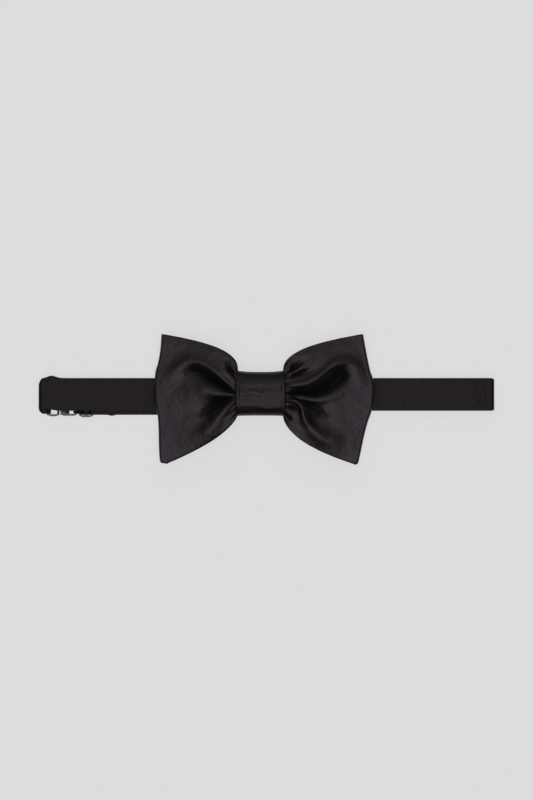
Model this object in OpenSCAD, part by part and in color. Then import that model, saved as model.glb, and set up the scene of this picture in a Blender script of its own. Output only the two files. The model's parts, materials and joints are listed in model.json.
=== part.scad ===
// Pre-tied bow tie on an adjustable neck band, closed and laid flat.
// +X runs along the band, +Y is up on the wearer, +Z is out of the bow's front.
// The origin is on the table, under the middle of the knot.

/* [Band] */
// Width of the neck band
band_w = 18; // [14:0.5:22]
// Thickness of the neck band
band_t = 0.8; // [0.6:0.05:1]
// Thickness of the satin wall of the band
band_wall = 0.25; // [0.2:0.01:0.28]
// Middle of the knot to the band's left turn
loop_left = 121.8; // [110:0.1:150]
// Middle of the knot to the band's right turn
loop_right = 128.3; // [120:0.1:160]
// Height of the front layer's middle line on the wearer
band_y = -0.5; // [-2:0.1:2]
// How far the slider can be drawn along the band
slider_travel = 150; // [120:5:180]

/* [Wings] */
// Middle of the knot to the left wing's top corner, its bulge and its bottom corner
left_reach = [53.9, 58.2, 53.6]; // [45:0.1:70]
// Middle of the knot to the right wing's top corner, its bulge and its bottom corner
right_reach = [56.3, 62.2, 53.6]; // [45:0.1:70]
// Height of the wings' top corners
wing_top = 32.6; // [24:0.1:40]
// Drop of the wings' bottom corners
wing_drop = 39.4; // [30:0.1:46]
// Thickness of the wings at their outer folds
wing_edge = 4.4; // [4:0.1:6]
// Thickness of the satin
satin_t = 0.6; // [0.5:0.05:0.8]
// Thickness of the wings' interlining
interlining_t = 0.5; // [0.3:0.05:0.7]

/* [Knot] */
// Width of the knot
knot_w = 26.8; // [20:0.1:32]
// Height of the knot
knot_h = 24.3; // [21:0.1:30]
// Thickness of the gathered waist inside the knot
waist_depth = 9.4; // [8:0.1:12]
// Height of the gathered waist
waist_h = 20.6; // [16:0.1:20.8]
// Thickness of the knot's wrap
wrap_t = 0.8; // [0.6:0.05:1]
// Thickness of the pad under the knot's face
pad_t = 0.4; // [0.3:0.05:0.8]
// Diameter of the gathering thread
thread_d = 0.4; // [0.3:0.05:0.5]
// Turns of gathering thread
thread_turns = 4; // [2:1:6]

/* [Clasp and slider] */
// Diameter of the bars of the hook and the eye
bar_d = 1.2; // [1:0.05:1.4]
// Width of the rim at each end of a fitting
rim = 1.1; // [0.9:0.05:1.4]
// Corner radius of the fittings
corner_r = 2.2; // [1.5:0.1:2.8]
// Middle of the eye's strap bar to the middle of its catch bar
eye_pitch = 5.6; // [5.4:0.1:7]
// Eye's catch bar to the hook's strap bar
hook_reach = 9.9; // [8.8:0.1:12]
// Thickness of the hook's plate
plate_t = 1; // [0.8:0.05:1.2]
// Width of the hook's tongue
tongue_w = 6; // [4:0.5:10]
// Thickness of the hook's tongue
tongue_t = 0.6; // [0.5:0.05:0.7]
// Thickness of the hook's lip
lip_t = 0.9; // [0.7:0.05:1]
// Height of the hook's lip above the eye's catch bar
lip_rise = 0.7; // [0.5:0.05:0.9]
// Diameter of the slider's bars
slider_bar_d = 1; // [0.8:0.05:1.2]
// Distance between the slider's bars
slider_pitch = 3.3; // [3.3:0.1:4.5]
// Hook's strap bar to the slider's first bar, with the slider run up to the hook
slider_start = 2.2; // [2.2:0.1:4]
// Height on the wearer of the eye, the hook and the slider
eye_y = -2.25; // [-3:0.05:0]
hook_y = -2; // [-3:0.05:0]
slider_y = -2.75; // [-3:0.05:0]

/* [Clearances] */
// Strap's edge to a fitting's rim
edge_gap = 0.15; // [0.1:0.05:0.3]
// Bar to the strap loop that turns on it
bar_gap = 0.2; // [0.15:0.05:0.25]
// Between two layers that move together
ply_gap = 0.08; // [0.05:0.01:0.1]
// Between two bodies that pass each other
pass_gap = 0.32; // [0.3:0.02:0.6]
// Hook's lip to the eye's catch bar
lip_gap = 0.5; // [0.4:0.05:0.6]

/* [Hidden] */
$fn = 48;

bar_r = bar_d / 2;
slider_bar_r = slider_bar_d / 2;
half_gap = pass_gap / 2;
slot_len = band_w + 2 * edge_gap;
fitting_len = slot_len + 2 * rim;
loop_ri = bar_r + bar_gap;
loop_ro = loop_ri + band_t;

// Heights: rear layer, fittings, wrap, front layer, waist, pad, wrap
bar_z = band_t + bar_gap + bar_r;
slider_z = 2 * band_t + 2 * ply_gap + slider_bar_r;
sewn_t = 0.75 * band_t;
crest_z = slider_z + slider_bar_r + sewn_t + ply_gap + band_t / 2;
wrap_z = crest_z + band_t / 2 + pass_gap;
front_z = wrap_z + satin_t + ply_gap;
turn_ro = (front_z + band_t) / 2;
turn_z = turn_ro;
waist_z = front_z + band_t + thread_d + ply_gap;
waist_top = waist_z + waist_depth;
pad_z = waist_top + thread_d + ply_gap;
wrap_top = pad_z + pad_t + ply_gap + wrap_t;

// Places along the band
left_axis_x = turn_ro - loop_left;
right_axis_x = loop_right - turn_ro;
eye_bar_x = left_axis_x + half_gap + loop_ro + ply_gap;
catch_x = eye_bar_x + eye_pitch;
lip_x = catch_x - bar_r - lip_gap - lip_t;
plate_x = catch_x + 2 * bar_r;
plate_len = hook_reach - 3.8 - 2 * bar_r;
hook_bar_x = catch_x + hook_reach;
slider_x = hook_bar_x + slider_start + slider_pitch;
hook_loop_end = hook_bar_x + 1;
slider_in = slider_x - slider_pitch - 0.3;
slider_out = slider_x + slider_pitch + 0.3;
fixed_x = slider_out + slider_travel + 8;
straight_x = -60;
lip_top = bar_z + bar_r + lip_rise;

function ease(t) = let (c = min(1, max(0, t))) c * c * (3 - 2 * c);
function mix(a, b, t) = a + (b - a) * t;
function arc(c, r, a0, a1, n) = [for (i = [0:n]) c + r * [cos(mix(a0, a1, i / n)), sin(mix(a0, a1, i / n))]];
function unit(v) = v / norm(v);
function side_step(p, i) =
    let (
        a = unit(p[min(i + 1, len(p) - 1)] - p[min(i, len(p) - 2)]),
        b = unit(p[max(i, 1)] - p[max(i - 1, 0)]),
        m = unit(a + b)
    )
    [-m[1], m[0]] / (m * a);

// A strap's outline from the side: its middle line, moved half a thickness each way
function ribbon(p, t) = concat(
    [for (i = [0:len(p) - 1]) p[i] + side_step(p, i) * t / 2],
    [for (i = [len(p) - 1:-1:0]) p[i] - side_step(p, i) * t / 2]
);

// A profile in X and Z, drawn out along Y about the height y
module along_y(w, y) translate([0, y + w / 2, 0]) rotate([90, 0, 0]) linear_extrude(w) children();

module strap(p, t, w, y) along_y(w, y) polygon(ribbon(p, t));

module slab(x0, x1, y, w, z0, t) translate([x0, y - w / 2, z0]) cube([x1 - x0, w, t]);

module bar(x, y, z, d, l) translate([x, y, z]) rotate([90, 0, 0]) cylinder(h = l, d = d, center = true);

module rounded(l, w, r) {
    square([l - 2 * r, w], center = true);
    square([l, w - 2 * r], center = true);
    for (i = [-1, 1], j = [-1, 1]) translate([i * (l / 2 - r), j * (w / 2 - r)]) circle(r);
}

// The two rounded ends that join a fitting's bars
module end_rims(x0, x1, y, z0, t)
    translate([(x0 + x1) / 2, y, z0]) linear_extrude(t) difference() {
        rounded(x1 - x0, fitting_len, corner_r);
        square([x1 - x0 + 1, slot_len], center = true);
    }

// ---- bow ----

function reach(side, v) =
    let (r = side < 0 ? left_reach : right_reach)
    r[1] + (r[0] - r[2]) / 2 * v + ((r[0] + r[2]) / 2 - r[1]) * v * v;
function top_y(side, u) = mix(waist_h / 2, wing_top, pow(u, side < 0 ? 0.33 : 0.35));
function bottom_y(side, u) = mix(waist_h / 2, wing_drop, pow(u, side < 0 ? 0.6 : 0.45));
function wing_x(side, u, v) = side * mix(knot_w / 2 + ply_gap, reach(side, v), u);
function wing_y(side, u, v) = v > 0 ? v * top_y(side, u) : v * bottom_y(side, u);

// Skin of the wings: full beside the knot, falling to the outer fold and to the open edges
function puff(u, v) = mix(waist_depth, wing_edge, ease(u)) * (1 - 0.3 * sin(180 * u) * v * v);
function front_skin(u, v) = waist_z + puff(u, v) - 0.35 * wing_edge * pow(u, 12);
function back_skin(u, v) = waist_z + 0.25 * wing_edge * pow(u, 12);
function gather(u, t) = mix((waist_depth - 1) / 2, t, ease(u / 0.2));

cols = 12;
rows = 12;
function side_of(c) = c <= cols ? -1 : 1;
function u_of(c) = c <= cols ? 1 - c / cols : (c - cols - 1) / cols;
function v_of(r) = 2 * r / rows - 1;

// A sheet from two skins, one over the other, running through the waist from wing to wing
module sheet(upper, lower) {
    n = 2 * cols + 1;
    at = function (c, r, z) [
        wing_x(side_of(c), u_of(c), v_of(r)), wing_y(side_of(c), u_of(c), v_of(r)), z
    ];
    per = rows + 1;
    count = (n + 1) * per;
    points = concat(
        [for (c = [0:n], r = [0:rows]) at(c, r, upper(u_of(c), v_of(r)))],
        [for (c = [0:n], r = [0:rows]) at(c, r, lower(u_of(c), v_of(r)))]
    );
    quads = concat(
        [for (c = [0:n - 1], r = [0:rows - 1]) let (i = c * per + r) [i, i + 1, i + per + 1, i + per]],
        [for (c = [0:n - 1], r = [0:rows - 1]) let (i = count + c * per + r) [i, i + per, i + per + 1, i + 1]],
        [for (c = [0:n - 1]) let (i = c * per) [i, i + per, count + i + per, count + i]],
        [for (c = [0:n - 1]) let (i = c * per + rows) [i + per, i, count + i, count + i + per]],
        [for (r = [0:rows - 1]) [r + 1, r, count + r, count + r + 1]],
        [for (r = [0:rows - 1]) let (i = n * per + r) [i, i + 1, count + i + 1, count + i]]
    );
    polyhedron(points, [for (q = quads, k = [0, 1]) [q[0], q[1 + k], q[2 + k]]]);
}

module bow_front() color("#17171a")
    sheet(function (u, v) front_skin(u, v), function (u, v) front_skin(u, v) - gather(u, satin_t));

module bow_back() color("#141417")
    sheet(function (u, v) back_skin(u, v) + gather(u, satin_t), function (u, v) back_skin(u, v));

// The interlining lies against the inside of the satin, out to just short of the outer fold
module lining_of_wings(upper, lower) intersection() {
    sheet(upper, lower);
    for (s = [-1, 1])
        translate([s > 0 ? knot_w / 2 + 1 : -left_reach[0] + 3, -wing_drop, waist_z])
            cube([(s > 0 ? right_reach[0] : left_reach[0]) - knot_w / 2 - 4, wing_drop + wing_top, waist_depth]);
}

module bow_front_interlining() color("#3a3a3c")
    lining_of_wings(
        function (u, v) front_skin(u, v) - gather(u, satin_t) - ply_gap,
        function (u, v) front_skin(u, v) - gather(u, satin_t) - ply_gap - interlining_t
    );

module bow_back_interlining() color("#3a3a3c")
    lining_of_wings(
        function (u, v) back_skin(u, v) + gather(u, satin_t) + ply_gap + interlining_t,
        function (u, v) back_skin(u, v) + gather(u, satin_t) + ply_gap
    );

// Stitches that pin the two gathered halves together, through the gap between them
module waist_stitches() color("#0c0c0d")
    for (i = [-2:2])
        translate([0, i * waist_h / 6, waist_z + (waist_depth - 1) / 2])
            cylinder(h = 1, d = thread_d, $fn = 16);

module gathering_thread() color("#0c0c0d")
    for (i = [0:thread_turns - 1])
        translate([(i - (thread_turns - 1) / 2) * 2 * thread_d - thread_d / 2, 0, waist_z - thread_d])
            rotate([90, 0, 90]) linear_extrude(thread_d) difference() {
                translate([0, waist_depth / 2 + thread_d])
                    square([waist_h + 2 * thread_d, waist_depth + 2 * thread_d], center = true);
                translate([0, waist_depth / 2 + thread_d]) square([waist_h, waist_depth], center = true);
            }

// ---- knot ----

stitch_rows = 5;
stitch_l = 2.2;
stitch_t = 0.25;
module knot_stitch_marks()
    for (i = [0:stitch_rows - 1])
        translate([(i - (stitch_rows - 1) / 2) * knot_w / (stitch_rows + 1), 0, wrap_z])
            rotate([0, 0, 60]) translate([-stitch_l / 2, -stitch_t / 2, 0]) cube([stitch_l, stitch_t, stitch_t]);

wrap_corner = 1;
// the wrap opens far enough for the band, clear of its inner corners, and for the gathered waist
wrap_h = max([
    knot_h,
    band_w + 2 * (abs(band_y) + wrap_t + wrap_corner + ply_gap),
    waist_h + 2 * (thread_d + wrap_t + ply_gap)
]);

module knot_wrap() color("#1b1b1e") difference() {
    translate([-knot_w / 2, 0, 0]) rotate([90, 0, 90]) linear_extrude(knot_w) difference() {
        translate([0, (wrap_z + wrap_top) / 2]) rounded(wrap_h, wrap_top - wrap_z, 2.4);
        translate([0, (wrap_z + satin_t + wrap_top - wrap_t) / 2])
            rounded(wrap_h - 2 * wrap_t, wrap_top - wrap_t - wrap_z - satin_t, wrap_corner);
    }
    knot_stitch_marks();
}

module knot_pad() color("#3a3a3c")
    slab(-knot_w / 2 + 1, knot_w / 2 - 1, 0, wrap_h - 2 * wrap_t - 2, pad_z, pad_t);

module knot_stitches() color("#0c0c0d") knot_stitch_marks();

// ---- band, front layer ----

lining_w = band_w - 1.2;
module front_band() color("#141416") difference() {
    slab(left_axis_x + half_gap, right_axis_x - half_gap, band_y, band_w, front_z, band_t);
    slab(left_axis_x, right_axis_x, band_y, lining_w + 0.1, front_z + band_wall, band_t - 2 * band_wall);
}

module front_band_interlining() color("#3a3a3c")
    slab(left_axis_x + half_gap, right_axis_x - half_gap, band_y, lining_w, front_z + band_wall,
        band_t - 2 * band_wall);

module band_tacks() color("#0c0c0d")
    for (i = [-1, 1], j = [-1:1])
        translate([i * knot_w / 4, band_y + j * band_w / 3, front_z + band_t])
            cylinder(h = waist_z - front_z - band_t, d = thread_d, $fn = 16);

function turn_line(x, side) =
    let (r = turn_ro - band_t / 2)
    concat(
        [[x - side * half_gap, turn_z + r]],
        arc([x, turn_z], r, 90, 90 - side * 180, 16),
        [[x - side * half_gap, turn_z - r]]
    );

module left_turn() color("#141416") strap(turn_line(left_axis_x, -1), band_t, band_w, (band_y + eye_y) / 2);

module right_turn() color("#141416") strap(turn_line(right_axis_x, 1), band_t, band_w, band_y);

// ---- eye and its end of the band ----

module eye_loop() color("#141416") difference() {
    union() {
        bar(eye_bar_x, eye_y, bar_z, 2 * loop_ro, band_w);
        slab(left_axis_x + half_gap, eye_bar_x, eye_y, band_w, 0, band_t);
    }
    bar(eye_bar_x, eye_y, bar_z, 2 * loop_ri, band_w + 1);
}

tack_n = 6;
tack_l = 1.8;
module tack(x, y, z, t)
    for (i = [0:tack_n - 1])
        slab(x - thread_d / 2, x + thread_d / 2, y + (i - (tack_n - 1) / 2) * band_w / tack_n, tack_l, z, t);

module eye_tack() color("#0c0c0d") difference() {
    tack(eye_bar_x, eye_y, bar_z + loop_ro - 0.02, thread_d / 2);
    bar(eye_bar_x, eye_y, bar_z, 2 * loop_ro, band_w + 1);
}

module eye() color("#55565a") {
    end_rims(eye_bar_x - bar_r, catch_x + bar_r, eye_y, bar_z - bar_r, bar_d);
    for (x = [eye_bar_x, catch_x]) bar(x, eye_y, bar_z, bar_d, slot_len + rim);
}

// ---- band, rear layer ----

function run_y(x) = mix(slider_y, band_y, ease((x - straight_x) / (fixed_x - straight_x)));
run_steps = 24;
function run_side(x0, x1, w) = [
    for (i = [0:run_steps]) let (x = mix(x0, x1, i / run_steps)) [x, run_y(x) + w / 2]
];
function flip(p) = [for (i = [len(p) - 1:-1:0]) p[i]];
module run_plan(x0, x1, w) polygon(concat(run_side(x0, x1, w), flip(run_side(x0, x1, -w))));

module rear_band() color("#141416") slab(fixed_x, right_axis_x - half_gap, band_y, band_w, 0, band_t);

module rear_run() color("#141416") difference() {
    linear_extrude(band_t) run_plan(slider_out, fixed_x, band_w);
    translate([0, 0, band_wall]) linear_extrude(band_t - 2 * band_wall)
        run_plan(slider_out - 1, fixed_x + 1, lining_w + 0.1);
}

module rear_run_interlining() color("#3a3a3c")
    translate([0, 0, band_wall]) linear_extrude(band_t - 2 * band_wall)
        run_plan(slider_out, fixed_x, lining_w);

// ---- slider, with the stretch of band that is woven through it ----

module slider() color("#55565a") {
    end_rims(slider_x - slider_pitch - slider_bar_r, slider_x + slider_pitch + slider_bar_r, slider_y,
        slider_z - slider_bar_r, slider_bar_d);
    for (i = [-1:1]) bar(slider_x + i * slider_pitch, slider_y, slider_z, slider_bar_d, slot_len + rim);
}

// Half of the hump over the middle bar: up from under the outer bar, to the crest
function hump(side, low) =
    let (
        slot = slider_pitch - slider_bar_r - slider_bar_r - sewn_t,
        mid = slider_bar_r + sewn_t + slot / 2
    )
    [
        [slider_x + side * (slider_pitch + 0.3), low],
        [slider_x + side * (slider_pitch - 0.4), low],
        [slider_x + side * (mid + 0.25), low + band_t * 0.55],
        [slider_x + side * (mid - 0.35), crest_z - band_t],
        [slider_x + side * (mid - 0.9), crest_z - 0.28 * band_t],
        [slider_x + side * 0.1, crest_z]
    ];

module run_in_slider() color("#141416")
    strap(concat(hump(-1, 1.5 * band_t + ply_gap), flip(hump(1, band_t / 2))), band_t, band_w, slider_y);

module slider_loop() color("#141416") difference() {
    union() {
        bar(slider_x, slider_y, slider_z, slider_bar_d + 2 * sewn_t, band_w);
        strap([
            [slider_in, band_t / 2],
            [slider_x - slider_pitch + 0.9, band_t / 2],
            [slider_x - slider_bar_r - 0.75, slider_z - slider_bar_r - sewn_t],
            [slider_x, slider_z - slider_bar_r - sewn_t / 2]
        ], sewn_t, band_w, slider_y);
    }
    bar(slider_x, slider_y, slider_z, slider_bar_d, band_w + 1);
}

module slider_tack() color("#0c0c0d") tack(slider_in + 0.5, slider_y, 0, (band_t - sewn_t) / 2);

// ---- hook and its end of the band ----

module hook_loop() color("#141416") strap(
    concat(
        [[hook_loop_end, band_t / 2]],
        arc([hook_bar_x, bar_z], loop_ri + band_t / 2, -90, -310, 22),
        [[hook_loop_end, bar_z + 0.8125 * band_t]]
    ), band_t, band_w, hook_y);

module draw_run() color("#141416") along_y(band_w, (hook_y + slider_y) / 2) polygon([
    [hook_loop_end + band_t / 2 - ply_gap, bar_z + band_t],
    [hook_loop_end + band_t / 2 - ply_gap, bar_z],
    [slider_in, band_t + ply_gap],
    [slider_in, 2 * band_t + ply_gap]
]);

module return_run() color("#141416")
    slab(hook_loop_end, slider_in, (hook_y + slider_y) / 2, band_w, (band_t - sewn_t) / 2, sewn_t);

module hook() color("#55565a") {
    end_rims(plate_x, hook_bar_x + bar_r, hook_y, bar_z - bar_r, bar_d);
    bar(hook_bar_x, hook_y, bar_z, bar_d, slot_len + rim);
    slab(plate_x, plate_x + plate_len, hook_y, slot_len + rim, bar_z - plate_t / 2, plate_t);
    along_y(tongue_w, hook_y) polygon([
        [plate_x + 2, bar_z - plate_t / 2],
        [plate_x + 1, bar_z - plate_t / 2],
        [plate_x - 0.2, 0],
        [lip_x, 0],
        [lip_x, lip_top],
        [lip_x + lip_t, lip_top],
        [lip_x + lip_t, tongue_t],
        [plate_x, tongue_t],
        [plate_x + 1, bar_z + plate_t / 2],
        [plate_x + 2, bar_z + plate_t / 2]
    ]);
}

bow_front();
bow_back();
bow_front_interlining();
bow_back_interlining();
waist_stitches();
gathering_thread();
knot_wrap();
knot_pad();
knot_stitches();
front_band();
front_band_interlining();
band_tacks();
left_turn();
right_turn();
eye_loop();
eye_tack();
eye();
rear_band();
rear_run();
rear_run_interlining();
slider();
run_in_slider();
slider_loop();
slider_tack();
hook_loop();
draw_run();
return_run();
hook();
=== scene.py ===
"""Pre-tied satin bow tie on an adjustable neck band, closed and laid flat."""

import json
import math
from types import SimpleNamespace

import bmesh
import bpy
import numpy as np
from bpy.props import FloatProperty, FloatVectorProperty, IntProperty, PointerProperty
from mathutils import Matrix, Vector, noise


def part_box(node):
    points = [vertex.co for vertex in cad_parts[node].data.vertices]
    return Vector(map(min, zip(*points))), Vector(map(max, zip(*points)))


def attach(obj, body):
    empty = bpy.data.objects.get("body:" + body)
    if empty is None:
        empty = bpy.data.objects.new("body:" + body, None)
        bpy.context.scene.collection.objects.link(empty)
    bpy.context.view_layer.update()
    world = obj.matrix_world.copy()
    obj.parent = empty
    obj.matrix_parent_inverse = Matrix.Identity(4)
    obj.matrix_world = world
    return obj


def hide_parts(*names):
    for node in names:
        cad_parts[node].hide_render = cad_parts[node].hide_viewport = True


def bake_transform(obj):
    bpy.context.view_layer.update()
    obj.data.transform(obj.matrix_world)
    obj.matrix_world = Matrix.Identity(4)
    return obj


bl_info = {
    "name": "Bow tie",
    "version": (1, 0, 0),
    "blender": (4, 5, 0),
    "location": "View3D > Sidebar > Bow tie",
    "description": "Builds a satin bow tie around its packed frame",
    "category": "Add Mesh",
}

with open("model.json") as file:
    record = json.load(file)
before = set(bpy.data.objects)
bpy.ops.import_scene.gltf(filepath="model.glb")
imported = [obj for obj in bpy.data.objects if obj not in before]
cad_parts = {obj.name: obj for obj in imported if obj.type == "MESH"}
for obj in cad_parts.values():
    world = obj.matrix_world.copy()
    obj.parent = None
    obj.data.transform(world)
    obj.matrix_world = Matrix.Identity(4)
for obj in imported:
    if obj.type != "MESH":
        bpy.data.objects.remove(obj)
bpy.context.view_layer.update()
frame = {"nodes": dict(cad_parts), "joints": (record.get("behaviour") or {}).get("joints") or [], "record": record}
MM = 0.001
WELD_MM = 0.002  # vertices closer than this are one
CUT_SHARE = 0.92  # share of its rectangle that the bow's cut is taken to fill
GIRTH_SHARE = 0.94  # girth of the rounded knot against the box round it
EDGE_MM = 0.2  # rounding of the fittings' and loops' edges
EDGE_SEGMENTS = 3
LEFT_LOW_IN, LEFT_HIGH_IN = 0.9, 0.15  # how far the band's edges draw in at its left end


def box_mm(node):
    """A node's lowest and highest corner, in millimetres."""
    low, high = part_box(node)
    return [c / MM for c in low], [c / MM for c in high]


def joint_mm(name):
    """The point that a hinge turns about, in millimetres."""
    joint = next(j for j in frame["joints"] if j["name"] == name)
    return [c / MM for c in joint["pos_m"]]


# ---- sizes and colours ----------------------------------------------------------------------


class TieSizes(bpy.types.PropertyGroup):
    """Sizes of the soft pieces"""

    satin: FloatProperty(name="Satin thickness", description="Thickness of the bow's cloth, lined",
                         default=0.0009, min=0.0004, max=0.0012, precision=4, unit="LENGTH")
    fullness: FloatProperty(name="Fullness", description="Depth of the wings beside the knot",
                            default=0.0076, min=0.004, max=0.009, precision=4, unit="LENGTH")
    edge_roll: FloatProperty(name="Edge roll", description="Radius of the fold at the wings' outer ends",
                             default=0.0019, min=0.001, max=0.0024, precision=4, unit="LENGTH")
    hem: FloatProperty(name="Hem", description="Radius of the turned edge of the knot's wrap",
                       default=0.00055, min=0.0002, max=0.001, precision=5, unit="LENGTH")
    fold_depth: FloatProperty(name="Fold depth", description="How deep the gathers are pressed, 1 as worn",
                              default=1.0, min=0, max=1.5, subtype="FACTOR")
    rows: IntProperty(name="Rows", description="Mesh rows from the bow's top edge to its bottom edge",
                      default=132, min=24, max=140)


def in_mm(group):
    """A group's lengths in millimetres, and its other values as they are."""
    values = {}
    for name in group.__annotations__:
        value = getattr(group, name)
        values[name] = value / MM if group.bl_rna.properties[name].unit == "LENGTH" else value
    return SimpleNamespace(**values)


class TieColours(bpy.types.PropertyGroup):
    """Colours of the materials"""

    satin: FloatVectorProperty(name="Satin", description="Colour of the bow and the knot",
                               subtype="COLOR", default=(0.0040, 0.0036, 0.0042), min=0, max=1)
    strap: FloatVectorProperty(name="Strap", description="Colour of the neck band",
                               subtype="COLOR", default=(0.0040, 0.0036, 0.0042), min=0, max=1)
    metal: FloatVectorProperty(name="Metal", description="Colour of the hook, the eye and the slider",
                               subtype="COLOR", default=(0.05, 0.05, 0.054), min=0, max=1)
    ground: FloatVectorProperty(name="Ground", description="Colour of the table",
                                subtype="COLOR", default=(0.28, 0.28, 0.28), min=0, max=1)


# ---- materials ------------------------------------------------------------------------------


class Socket:
    """A shader value that can be used in a Python expression."""

    def __init__(self, tree, link):
        self.tree = tree
        self.link = link

    def math(self, operation, other=0.0, swap=False):
        pair = (other, self) if swap else (self, other)
        return self.tree.node("ShaderNodeMath", {"operation": operation}, *pair)

    def __add__(self, other):
        return self.math("ADD", other)

    def __sub__(self, other):
        return self.math("SUBTRACT", other)

    def __mul__(self, other):
        return self.math("MULTIPLY", other)

    def __pow__(self, other):
        return self.math("POWER", other)

    def __rsub__(self, other):
        return self.math("SUBTRACT", other, swap=True)

    __radd__ = __add__
    __rmul__ = __mul__


class Shader:
    """A material's node tree, with one way to add a node."""

    def __init__(self, name):
        self.material = bpy.data.materials.new(name)
        self.material.use_nodes = True
        self.nodes = self.material.node_tree.nodes
        self.links = self.material.node_tree.links
        self.surface = self.nodes["Principled BSDF"]

    def set(self, socket, value):
        if isinstance(value, Socket):
            self.links.new(value.link, socket)
        elif value is not None:
            socket.default_value = value

    def node(self, kind, settings=None, *values, output=0):
        made = self.nodes.new(kind)
        for key, value in (settings or {}).items():
            if key == "stops":
                for i, (place, colour) in enumerate(value):
                    stop = made.color_ramp.elements[i] if i < 2 else made.color_ramp.elements.new(place)
                    stop.position = place
                    stop.color = (*colour, 1)
            else:
                setattr(made, key, value)
        for socket, value in zip(made.inputs, values):
            self.set(socket, value)
        return Socket(self, made.outputs[output])

    def coordinates(self, source, scale, turn=0.0):
        start = self.node("ShaderNodeTexCoord", output={"Object": 3, "UV": 2}[source])
        return self.node("ShaderNodeMapping", {}, start, None, (0, 0, turn), scale)

    def noise(self, where, scale, detail=2.0):
        return self.node("ShaderNodeTexNoise", {}, where, None, scale, detail)

    def wave(self, where, scale, distortion=0.0):
        return self.node("ShaderNodeTexWave", {"wave_profile": "SIN"}, where, scale, distortion)

    def colour_mix(self, factor, dark, light):
        made = self.nodes.new("ShaderNodeMix")
        made.data_type = "RGBA"
        self.set(made.inputs["Factor"], factor)
        self.set(made.inputs[6], (*dark, 1))
        self.set(made.inputs[7], (*light, 1))
        return Socket(self, made.outputs[2])

    def bump(self, height, strength, distance_mm):
        made = self.nodes.new("ShaderNodeBump")
        made.inputs["Strength"].default_value = strength
        made.inputs["Distance"].default_value = distance_mm * MM
        self.set(made.inputs["Height"], height)
        return Socket(self, made.outputs[0])

    def finish(self, **sockets):
        for name, value in sockets.items():
            self.set(self.surface.inputs[name.replace("_", " ").title().replace("Ior", "IOR")], value)
        return self.material


def shade(colour, factor):
    return tuple(min(1.0, c * factor) for c in colour)


def satin(name, colour, roughness, thread_mm, sheen=0.04, bump=0.5, gloss=0.42, grain=1.0):
    """Warp-faced satin: long floats along the cloth's V, with slubs, mottling and a soft lustre."""
    s = Shader(name)
    uv = s.coordinates("UV", (1, 1, 1))
    thread = 1 / thread_mm
    floats = s.wave(s.coordinates("UV", (1, 0.12, 1)), thread * 0.5, 1.2)
    twill = s.wave(s.coordinates("UV", (1, 1, 1), math.radians(27)), thread * 0.22, 0.6)
    slubs = s.noise(s.coordinates("UV", (0.22, 1.3, 1)), 1.1, 3)
    mottle = s.noise(uv, 0.95, 2)
    cloud = s.noise(uv, 0.07, 2)
    tone = mottle * 0.5 + slubs * 0.3 + cloud * 0.2
    speck = s.noise(uv, 2.2, 2)
    height = mottle * grain + slubs * 0.3 + speck * 0.7 + floats * 0.025 + twill * 0.02
    return s.finish(
        base_color=s.colour_mix(tone, shade(colour, 0.3), shade(colour, 1.8)),
        roughness=roughness - 0.25 + mottle * 0.2 + slubs * 0.06 + speck * 0.24,
        normal=s.bump(height, bump, 0.22),
        specular_ior_level=gloss,
        specular_tint=(1.0, 0.87, 1.0, 1),
        sheen_weight=sheen,
        sheen_roughness=0.35,
        sheen_tint=(1.0, 0.88, 1.0, 1),
    )


def thread_finish(name, colour):
    """Twisted sewing thread."""
    s = Shader(name)
    twist = s.wave(s.coordinates("Object", (900, 900, 900), math.radians(40)), 3.0, 0.5)
    fuzz = s.noise(s.coordinates("Object", (1, 1, 1)), 2500, 2)
    return s.finish(
        base_color=s.colour_mix(fuzz, shade(colour, 0.6), shade(colour, 1.6)),
        roughness=0.5 + fuzz * 0.25,
        normal=s.bump(twist + fuzz * 0.5, 0.4, 0.04),
    )


def interlining_finish(name):
    """Matt plain-weave interlining."""
    s = Shader(name)
    warp = s.wave(s.coordinates("Object", (1, 1, 1)), 900, 0.5)
    weft = s.wave(s.coordinates("Object", (1, 1, 1), math.radians(90)), 900, 0.5)
    fuzz = s.noise(s.coordinates("Object", (1, 1, 1)), 1500, 3)
    weave = warp * 0.5 + weft * 0.5
    return s.finish(
        base_color=s.colour_mix(fuzz * 0.5 + weave * 0.5, (0.02, 0.02, 0.021), (0.05, 0.05, 0.052)),
        roughness=0.8 + fuzz * 0.15,
        normal=s.bump(weave, 0.5, 0.08),
    )


THREAD_COLOUR = (0.012, 0.012, 0.013)


def inner_finish(slot):
    """The finish of a thread or an interlining, made once."""
    made = bpy.data.materials.get(slot)
    if made:
        return made
    return thread_finish(slot, THREAD_COLOUR) if slot == "thread" else interlining_finish(slot)


def black_nickel(name, colour):
    """Bright black nickel plate, with polishing marks and rubbed patches."""
    s = Shader(name)
    polish = s.noise(s.coordinates("Object", (200, 2600, 200)), 1.0, 3)
    rubbed = s.noise(s.coordinates("Object", (1, 1, 1)), 260, 3)
    return s.finish(
        base_color=s.colour_mix(rubbed, shade(colour, 0.7), shade(colour, 1.7)),
        metallic=1.0,
        roughness=0.12 + rubbed * 0.12 + polish * 0.06,
        normal=s.bump(polish, 0.06, 0.02),
    )


# ---- making meshes --------------------------------------------------------------------------


def smooth_step(t):
    t = np.clip(t, 0, 1)
    return t * t * (3 - 2 * t)


def mix(a, b, t):
    return a + (b - a) * t


def add_object(name, bm, material, body=None):
    """Turns a bmesh into a smooth piece at the origin, on its body and with its finish."""
    mesh = bpy.data.meshes.new(name)
    bm.to_mesh(mesh)
    bm.free()
    mesh.materials.clear()
    mesh.materials.append(material)
    mesh.polygons.foreach_set("use_smooth", [True] * len(mesh.polygons))
    piece = bpy.data.objects.new(name, mesh)
    bpy.context.scene.collection.objects.link(piece)
    if body:
        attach(piece, body)
    return piece


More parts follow.
